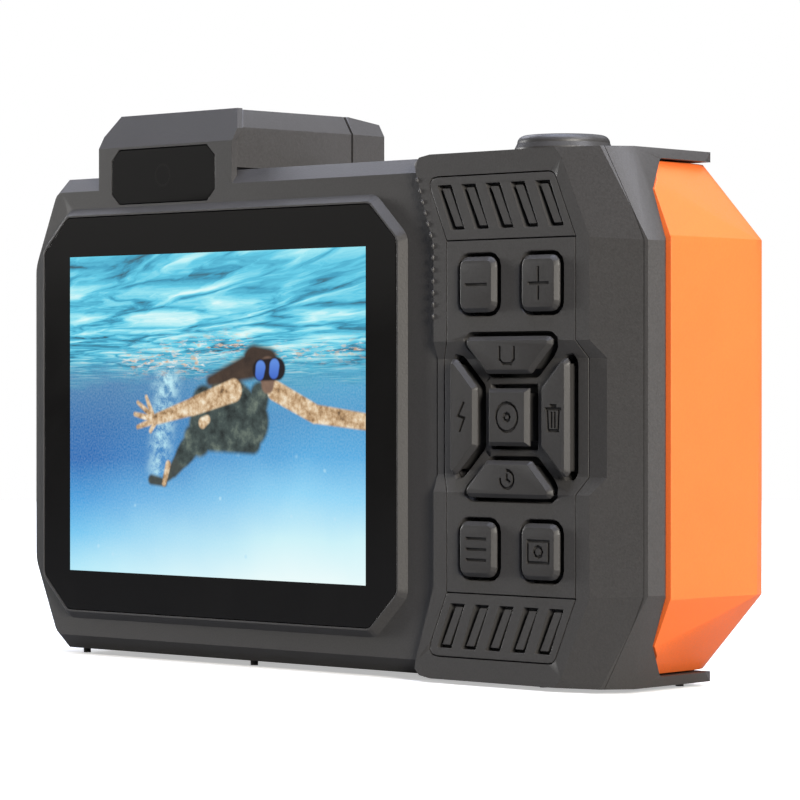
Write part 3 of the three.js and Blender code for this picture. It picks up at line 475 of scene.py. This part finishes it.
def new_object(name, mesh, *materials):
    piece = bpy.data.objects.new(name, mesh)
    bpy.context.scene.collection.objects.link(piece)
    for material in materials:
        mesh.materials.append(material)
    return piece


def from_bmesh(name, shape, *materials):
    mesh = bpy.data.meshes.new(name)
    shape.to_mesh(mesh)
    shape.free()
    return new_object(name, mesh, *materials)


def node_shape(node):
    """A CAD node's surface, with its faces joined at their corners."""
    shape = bmesh.new()
    shape.from_mesh(frame["nodes"][node].data)
    bmesh.ops.remove_doubles(shape, verts=shape.verts, dist=0.002 * MM)
    return shape


def stand_for(piece, node):
    """Puts a piece in a CAD node's place and on its body."""
    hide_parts(node)
    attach(piece, BODY_OF[node])
    return piece


EDGE_SEGMENTS = 2
FLATTEST_EDGE = 9.0


def soften(piece, width, angle=FLATTEST_EDGE):
    """Rounds a piece's edges that are sharper than an angle in degrees, and shades its flats as flat."""
    for polygon in piece.data.polygons:
        polygon.use_smooth = True
    bevel = piece.modifiers.new("edge_radius", "BEVEL")
    bevel.width = width
    bevel.segments = EDGE_SEGMENTS
    bevel.limit_method = "ANGLE"
    bevel.angle_limit = math.radians(angle)
    bevel.use_clamp_overlap = True
    bevel.harden_normals = False
    bevel.miter_outer = "MITER_ARC"
    normals = piece.modifiers.new("flat_shading", "WEIGHTED_NORMAL")
    normals.keep_sharp = True
    normals.weight = 60
    return piece


def ease_bends(shape, levels, reach):
    """Parts the faces just above and below some level bends, so that only the strips between look curved."""
    for level in levels:
        for z in (level - reach, level + reach):
            bmesh.ops.bisect_plane(
                shape, geom=shape.verts[:] + shape.edges[:] + shape.faces[:],
                plane_co=(0.0, 0.0, z), plane_no=(0.0, 0.0, 1.0),
            )


def refine(node, width, angle):
    """A CAD node's moulding with rounded edges."""
    material = NODE_MATERIAL.get(node, SLOT_MATERIAL[SLOT_OF[node]])
    shape = node_shape(node)
    if node in BENDS:
        ease_bends(shape, *BENDS[node])
    piece = from_bmesh(node + "_moulding", shape, MATERIALS[material])
    soften(piece, width, angle)
    return stand_for(piece, node)


# ---------- floor, light and camera ----------

def make_stage():
    shape = bmesh.new()
    bmesh.ops.create_circle(shape, cap_ends=True, radius=0.7, segments=96)
    shader = Shader("pale_floor")
    paint = shader.noise(shader.place(), 40.0)
    seen = shader.add("ShaderNodeBsdfPrincipled", {
        "Base Color": shader.mix(paint, rgba(0.93, 0.93, 0.93), rgba(0.96, 0.96, 0.96)), "Roughness": 0.9,
        "Specular IOR Level": 0.0, "Emission Color": rgba(1.0, 1.0, 1.0), "Emission Strength": 0.45,
    }).outputs[0]
    # To all but camera rays the floor shows painted shade: dark in front of the object and pale behind it, so
    # that the light it throws back onto the object is dimmer from the front.
    depth = shader.add("ShaderNodeSeparateXYZ", {"Vector": shader.place()}).outputs["Y"]
    painted_shade_bounce = shader.add("ShaderNodeBsdfDiffuse", {
        "Color": shader.mix(shader.spread(depth, -0.06, 0.10), rgba(0.13, 0.13, 0.13), rgba(0.7, 0.7, 0.7)),
    }).outputs[0]
    camera_ray = shader.add("ShaderNodeLightPath").outputs["Is Camera Ray"]
    shader.surface(shader.add("ShaderNodeMixShader", {0: camera_ray, 1: painted_shade_bounce, 2: seen}).outputs[0])
    floor = from_bmesh("floor", shape, shader.material)
    floor.location = (EYE.x + 0.02, EYE.y + 0.02, CAD_BOX[0][2] - 0.0001)


def make_world():
    """White behind the object, and an even soft light from all round it."""
    world = bpy.data.worlds.new("studio")
    world.use_nodes = True
    tree = world.node_tree
    tree.nodes.clear()
    backdrop = tree.nodes.new("ShaderNodeBackground")
    backdrop.inputs["Color"].default_value = rgba(1.0, 1.0, 1.0)
    backdrop.inputs["Strength"].default_value = 1.0
    room = tree.nodes.new("ShaderNodeBackground")
    room.inputs["Color"].default_value = rgba(0.93, 0.96, 1.0)
    room.inputs["Strength"].default_value = 0.02
    path = tree.nodes.new("ShaderNodeLightPath")
    choose = tree.nodes.new("ShaderNodeMixShader")
    output = tree.nodes.new("ShaderNodeOutputWorld")
    tree.links.new(path.outputs["Is Camera Ray"], choose.inputs[0])
    tree.links.new(room.outputs[0], choose.inputs[1])
    tree.links.new(backdrop.outputs[0], choose.inputs[2])
    tree.links.new(choose.outputs[0], output.inputs["Surface"])
    bpy.context.scene.world = world


def soft_light(name, place, target, size, watts, color):
    data = bpy.data.lights.new(name, "AREA")
    data.shape = "RECTANGLE"
    data.size, data.size_y = size
    data.energy = watts
    data.color = color
    light = bpy.data.objects.new(name, data)
    bpy.context.scene.collection.objects.link(light)
    light.location = place
    light.rotation_euler = (Vector(target) - Vector(place)).to_track_quat("-Z", "Y").to_euler()


# Each light: its name, its place from the display's middle, its size, its watts and its colour. One grazes
# the rear face from its left, a warm one is on the grip's side, and cool ones are above.
LIGHTS = [
    ("left_graze", (-0.77, -0.13, 0.10), (0.10, 0.30), 3.1, (1.0, 0.99, 0.97)),
    ("overhead", (0.02, 0.0, 0.72), (0.6, 0.6), 7.0, (0.72, 0.78, 1.0)),
    ("right_side", (0.71, -0.28, 0.20), (0.2, 0.2), 7.2, (1.0, 0.95, 0.86)),
    ("high_right", (0.50, 0.10, 0.55), (0.3, 0.3), 2.4, (0.88, 0.90, 1.0)),
    ("high_left", (-0.6, 0.2, 0.55), (0.4, 0.4), 2.4, (0.86, 0.88, 1.0)),
    ("high_front", (0.0, 0.62, 0.6), (0.6, 0.5), 1.0, (0.90, 0.93, 1.0)),
    ("glass_card", (-0.74, -0.69, 0.15), (0.35, 0.22), 0.12, (1.0, 0.98, 0.95)),
]


def make_lights():
    for name, offset, size, watts, color in LIGHTS:
        soft_light(name, EYE + Vector(offset), EYE, size, watts, color)


# The camera's direction from the display in degrees, its focal length in mm, and its place from the
# display's middle, in metres back along the view, to the right and up.
CAMERA = {
    "azimuth": 44.27, "elevation": 0.217, "focal": 165.05, "back": 0.48129, "right": 0.02469, "up": 0.00194,
}


def make_camera():
    azimuth = math.radians(CAMERA["azimuth"])
    elevation = math.radians(CAMERA["elevation"])
    back = Vector((
        math.sin(azimuth) * math.cos(elevation),
        -math.cos(azimuth) * math.cos(elevation),
        math.sin(elevation),
    ))
    right = Vector((math.cos(azimuth), math.sin(azimuth), 0.0))
    up = back.cross(right)
    data = bpy.data.cameras.new("camera")
    data.lens = CAMERA["focal"]
    data.sensor_width = 36.0
    data.clip_start = 0.01
    data.dof.use_dof = False
    camera = bpy.data.objects.new("camera", data)
    bpy.context.scene.collection.objects.link(camera)
    camera.location = EYE + back * CAMERA["back"] + right * CAMERA["right"] + up * CAMERA["up"]
    camera.rotation_euler = back.to_track_quat("Z", "Y").to_euler()
    bpy.context.scene.camera = camera


# ---------- the moulded pieces ----------

KEYS = [
    "zoom_out_key", "zoom_in_key", "mode_key", "still_key", "up_key", "left_key", "down_key", "right_key",
    "centre_key",
]
KEY_EDGE = 0.05 * MM

# How far the edges of each moulding are rounded, in mm.
EDGE_RADIUS = {
    "rear_shell": 0.2, "front_shell": 0.3, "grip_rear_cover": 0.2, "grip_frame": 0.25,
    "upper_vent_panel": 0.06, "keypad_panel": 0.06, "lower_vent_panel": 0.06, "grip_cover": 0.25,
    "pod_cover": 0.25, "flash_housing": 0.25, "lens_ring": 0.3, "battery_door": 0.15,
    "power_button": 0.12, "strap_lug": 0.2, "door_latch": 0.1, "pod_window": 0.08,
    "front_display_glass": 0.1, "display_glass": 0.06,
}

# Edges flatter than this, in degrees, are left unrounded and shaded as one curved face.
SMOOTHED = {"grip_frame": 22.0, "grip_cover": 31.0}

# Soft bends: the heights at which a moulding's side folds, and how far the curve reaches above and below.
BENDS = {"grip_cover": ((11.4 * MM, 54.2 * MM), 2.2 * MM)}


def moulded_pieces():
    for node, radius in EDGE_RADIUS.items():
        refine(node, radius * MM, SMOOTHED.get(node, FLATTEST_EDGE))


def line(*points):
    """A stroke of a symbol through points, as the pairs of its ends."""
    return list(zip(points, points[1:]))


def ring(radius, sides=16, turn=1.0):
    """A round stroke that starts at the top and goes clockwise for a share of a turn."""
    angles = [math.radians(90) - 2 * math.pi * turn * i / sides for i in range(sides + 1)]
    return line(*((radius * math.cos(a), radius * math.sin(a)) for a in angles))


# What is engraved on the keys: strokes through points to the right of and above a key's middle, in units
# of STROKE["unit"] mm. There is no lettering.
SYMBOLS = {
    "zoom_out_key": line((-1.3, 0.0), (1.3, 0.0)),
    "zoom_in_key": line((-1.2, 0.0), (1.2, 0.0)) + line((0.0, -1.4), (0.0, 1.4)),
    "centre_key": ring(1.35) + ring(0.35, sides=8),
    "mode_key": line((-1.2, 1.0), (1.2, 1.0)) + line((-1.2, 0.0), (1.2, 0.0))
    + line((-1.2, -1.0), (1.2, -1.0)),
    "still_key": line((-1.3, -1.0), (-1.3, 1.0), (1.3, 1.0), (1.3, -1.0), (-1.3, -1.0))
    + ring(0.5, sides=8),
    "up_key": line((-0.9, 0.7), (-0.9, -0.4), (-0.5, -0.8), (0.5, -0.8), (0.9, -0.4), (0.9, 0.7)),
    "down_key": ring(0.85, turn=0.75) + line((0.0, 0.4), (0.0, 0.0), (0.35, -0.2)),
    "left_key": line((0.25, 1.3), (-0.45, 0.1), (0.35, -0.1), (-0.2, -1.3)),
    "right_key": line((-0.9, 0.8), (0.9, 0.8)) + line((-0.3, 1.1), (0.3, 1.1))
    + line((-0.7, 0.5), (-0.6, -1.2), (0.6, -1.2), (0.7, 0.5)) + line((-0.2, 0.4), (-0.2, -0.8))
    + line((0.2, 0.4), (0.2, -0.8)),
}
STROKE = {"width": 0.38 * MM, "depth": 0.35 * MM, "unit": 1.3}


def engraver(node, strokes):
    """A cutter with a bar for each stroke of a symbol."""
    low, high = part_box(node)
    middle = (low + high) / 2
    shape = bmesh.new()
    for start, end in strokes:
        a, b = (Vector((x, 0.0, z)) * MM * STROKE["unit"] for x, z in (start, end))
        along = b - a
        bar = Matrix.Translation(Vector((middle.x, low.y, middle.z)) + (a + b) / 2)
        bar = bar @ Matrix.Rotation(-math.atan2(along.z, along.x), 4, "Y")
        size = (along.length + STROKE["width"], 2 * STROKE["depth"], STROKE["width"])
        bmesh.ops.create_cube(shape, size=1.0, matrix=bar @ Matrix.Diagonal((*size, 1.0)))
    cutter = from_bmesh(node + "_engraver", shape)
    cutter.hide_render = True
    return cutter


def carve(piece, cutter):
    """Cuts a piece with a cutter, which is used up."""
    cut = piece.modifiers.new("engraving", "BOOLEAN")
    cut.operation = "DIFFERENCE"
    cut.solver = "EXACT"
    cut.use_self = True
    cut.object = cutter
    bpy.context.view_layer.update()
    mesh = bpy.data.meshes.new_from_object(piece.evaluated_get(bpy.context.evaluated_depsgraph_get()))
    piece.modifiers.clear()
    piece.data = mesh
    bpy.data.objects.remove(cutter)


def key_pieces():
    for node in KEYS:
        piece = from_bmesh(node + "_moulding", node_shape(node), MATERIALS["keys"])
        soften(piece, KEY_EDGE)
        carve(piece, engraver(node, SYMBOLS[node]))
        stand_for(piece, node)


PICTURE = {"half_width": 28.45 * MM, "half_height": 21.34 * MM, "stand_out": 0.01 * MM}


def display_picture():
    """The lit picture, as a panel on the face of the cover glass."""
    half_width, half_height = PICTURE["half_width"], PICTURE["half_height"]
    corners = [(-1, -1), (1, -1), (1, 1), (-1, 1)]
    shape = bmesh.new()
    layer = shape.loops.layers.uv.new("picture")
    face = shape.faces.new([
        shape.verts.new(EYE + Vector((x * half_width, -PICTURE["stand_out"], z * half_height)))
        for x, z in corners
    ])
    for loop, (x, z) in zip(face.loops, corners):
        loop[layer].uv = ((x + 1) / 2 * half_width / half_height, (z + 1) / 2)
    return stand_for(from_bmesh("display_picture", shape, MATERIALS["picture"]), "display_glass")


# The nubs' path is in mm to the right of and above the display's middle. Their size is half of each width.
SEAM_NUBS = {
    "path": [(37.5, 29.3), (40.22, 21.2), (40.22, 11.5)], "depth": 0.04, "pitch": 1.45,
    "size": (0.20, 0.24, 0.42),
}


def seam_nubs():
    """A row of small nubs along the upper part of the seam between the rear plate and the grip."""
    path = [EYE + Vector((x * MM, SEAM_NUBS["depth"] * MM, z * MM)) for x, z in SEAM_NUBS["path"]]
    shape = bmesh.new()
    carried = 0.0
    for start, end in zip(path, path[1:]):
        along = end - start
        turn = Matrix.Rotation(-math.atan2(along.x, -along.z), 4, "Y")
        while carried < along.length:
            place = Matrix.Translation(start + along.normalized() * carried)
            size = Matrix.Diagonal((*(v * MM for v in SEAM_NUBS["size"]), 1.0))
            bmesh.ops.create_icosphere(shape, subdivisions=2, radius=1.0, matrix=place @ turn @ size)
            carried += SEAM_NUBS["pitch"] * MM
        carried -= along.length
    for face in shape.faces:
        face.smooth = True
    return stand_for(from_bmesh("seam_nubs", shape, MATERIALS["charcoal"]), "rear_shell")


def ring_of_points(radius, height, segments):
    angles = [2 * math.pi * i / segments for i in range(segments)]
    return [Vector((math.cos(a) * radius, math.sin(a) * radius, height)) * MM for a in angles]


def lathe(shape, profile, origin, axis, segments=64):
    """Turns a profile of (radius, height) pairs in mm, from axis to axis, about an axis through an origin."""
    upright = Vector(axis).to_track_quat("Z", "Y").to_matrix().to_4x4()
    place = Matrix.Translation(origin) @ upright
    rows = []
    for radius, height in profile:
        points = ring_of_points(radius, height, segments if radius else 1)
        rows.append([shape.verts.new(place @ point) for point in points])
    for low, high in zip(rows, rows[1:]):
        for i in range(segments):
            j = (i + 1) % segments
            corners = [low[i % len(low)], low[j % len(low)], high[j % len(high)], high[i % len(high)]]
            shape.faces.new(list(dict.fromkeys(corners)))
    bmesh.ops.recalc_face_normals(shape, faces=shape.faces)


TURNED_EDGE = 0.02 * MM


def turned_piece(name, node, profile, origin, axis, material):
    shape = bmesh.new()
    lathe(shape, profile, origin, axis)
    piece = from_bmesh(name, shape, MATERIALS[material])
    soften(piece, TURNED_EDGE)
    return stand_for(piece, node)


def arc(radius, height, round_radius, steps=6):
    """A rounded shoulder: from the side at (radius, height - round_radius) in to the top."""
    turns = [math.pi / 2 * i / steps for i in range(steps + 1)]
    side, low = radius - round_radius, height - round_radius
    return [(side + round_radius * math.cos(t), low + round_radius * math.sin(t)) for t in turns]


# The shutter button's radii and heights below its top, in mm. The dish is the hollow for the fingertip.
SHUTTER = {
    "stem": 2.5, "foot": -7.1, "skirt": 6.05, "skirt_low": -3.05, "skirt_high": -1.6,
    "crown": 5.75, "shoulder": 1.0, "dish": [(4.2, -0.1), (2.2, -0.22), (0.0, -0.26)],
}


def shutter():
    """The release button: a dished top, a rounded shoulder, and sides that taper upwards."""
    low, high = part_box("shutter_button")
    middle = (low + high) / 2
    origin = Vector((middle.x, middle.y, high.z))
    foot, skirt_low = SHUTTER["foot"], SHUTTER["skirt_low"]
    stem = [(0.0, foot), (SHUTTER["stem"], foot), (SHUTTER["stem"], skirt_low)]
    skirt = [(SHUTTER["skirt"], skirt_low), (SHUTTER["skirt"], SHUTTER["skirt_high"])]
    crown = arc(SHUTTER["crown"], 0.0, SHUTTER["shoulder"])
    profile = stem + skirt + crown + SHUTTER["dish"]
    return turned_piece("shutter_button_turned", "shutter_button", profile, origin, (0, 0, 1), "keys")


# The tripod socket in mm: its thread's turns, its bore's end, and its rim and barrel. Heights are above
# its foot. A groove or crest is a radius and a drop below the start of its turn.
SOCKET = {
    "turns": 6, "pitch": 1.27, "top_turn": 7.6, "groove": (3.17, 0.3), "crest": (2.95, 0.9), "bore_end": 8.3,
    "outline": [(3.35, 0.0), (4.15, 0.0), (4.2, 0.05), (4.2, 1.5), (3.6, 1.5), (3.6, 9.3), (0.0, 9.3)],
}


def tripod_socket():
    """The quarter-inch socket, with a groove for each turn of its thread."""
    low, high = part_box("tripod_bushing")
    middle = (low + high) / 2
    thread = [
        (radius, SOCKET["top_turn"] - SOCKET["pitch"] * i - offset)
        for i in range(SOCKET["turns"]) for radius, offset in (SOCKET["groove"], SOCKET["crest"])
    ]
    bore = [(0.0, SOCKET["bore_end"]), (SOCKET["crest"][0], SOCKET["bore_end"])]
    profile = bore + thread + SOCKET["outline"]
    origin = Vector((middle.x, middle.y, low.z))
    return turned_piece("tripod_socket_threaded", "tripod_bushing", profile, origin, (0, 0, 1), "metal")


DOME_STEPS = 10


def front_lens():
    """The coated glass in the lens ring, with a domed face."""
    low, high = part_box("lens_window")
    middle = (low + high) / 2
    radius, depth = (high.x - low.x) / 2 / MM, (high.y - low.y) / MM
    sag = depth / 2
    turns = [math.pi / 2 * i / DOME_STEPS for i in range(DOME_STEPS)]
    dome = [(radius * math.cos(t), sag * (math.sin(t) - 1)) for t in turns]
    profile = [(0.0, -depth), (radius, -depth)] + dome + [(0.0, 0.0)]
    origin = Vector((middle.x, high.y, middle.z))
    return turned_piece("front_lens_dome", "lens_window", profile, origin, (0, 1, 0), "lens")


FLASH_RIBS = {"count": 26, "depth": 0.28 * MM}


def flash_diffuser():
    """The flash's window, ribbed from top to bottom on its outer face."""
    low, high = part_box("flash_window")
    count, depth = FLASH_RIBS["count"], FLASH_RIBS["depth"]
    shape = bmesh.new()
    columns = []
    for i in range(2 * count + 1):
        x = low.x + (high.x - low.x) * i / (2 * count)
        front = high.y - (depth if i % 2 == 0 else 0.0)
        section = [(low.y, low.z), (front, low.z), (front, high.z), (low.y, high.z)]
        columns.append([shape.verts.new((x, y, z)) for y, z in section])
    for left, right in zip(columns, columns[1:]):
        for i in range(4):
            j = (i + 1) % 4
            shape.faces.new([left[i], left[j], right[j], right[i]])
    shape.faces.new(columns[0])
    shape.faces.new(columns[-1])
    bmesh.ops.recalc_face_normals(shape, faces=shape.faces)
    return stand_for(from_bmesh("flash_diffuser", shape, MATERIALS["clear"]), "flash_window")


def plain_nodes():
    """The nodes whose CAD shape stays: only their material is set."""
    for node, thing in frame["nodes"].items():
        if thing.hide_render:
            continue
        material = MATERIALS[SLOT_MATERIAL[SLOT_OF[node]]]
        thing.data.materials.clear()
        thing.data.materials.append(material)


# ---------- scene ----------

make_stage()
make_world()
make_lights()
make_camera()
moulded_pieces()
key_pieces()
display_picture()
seam_nubs()
shutter()
tripod_socket()
front_lens()
flash_diffuser()
plain_nodes()

bpy.context.scene.view_settings.view_transform = "Standard"
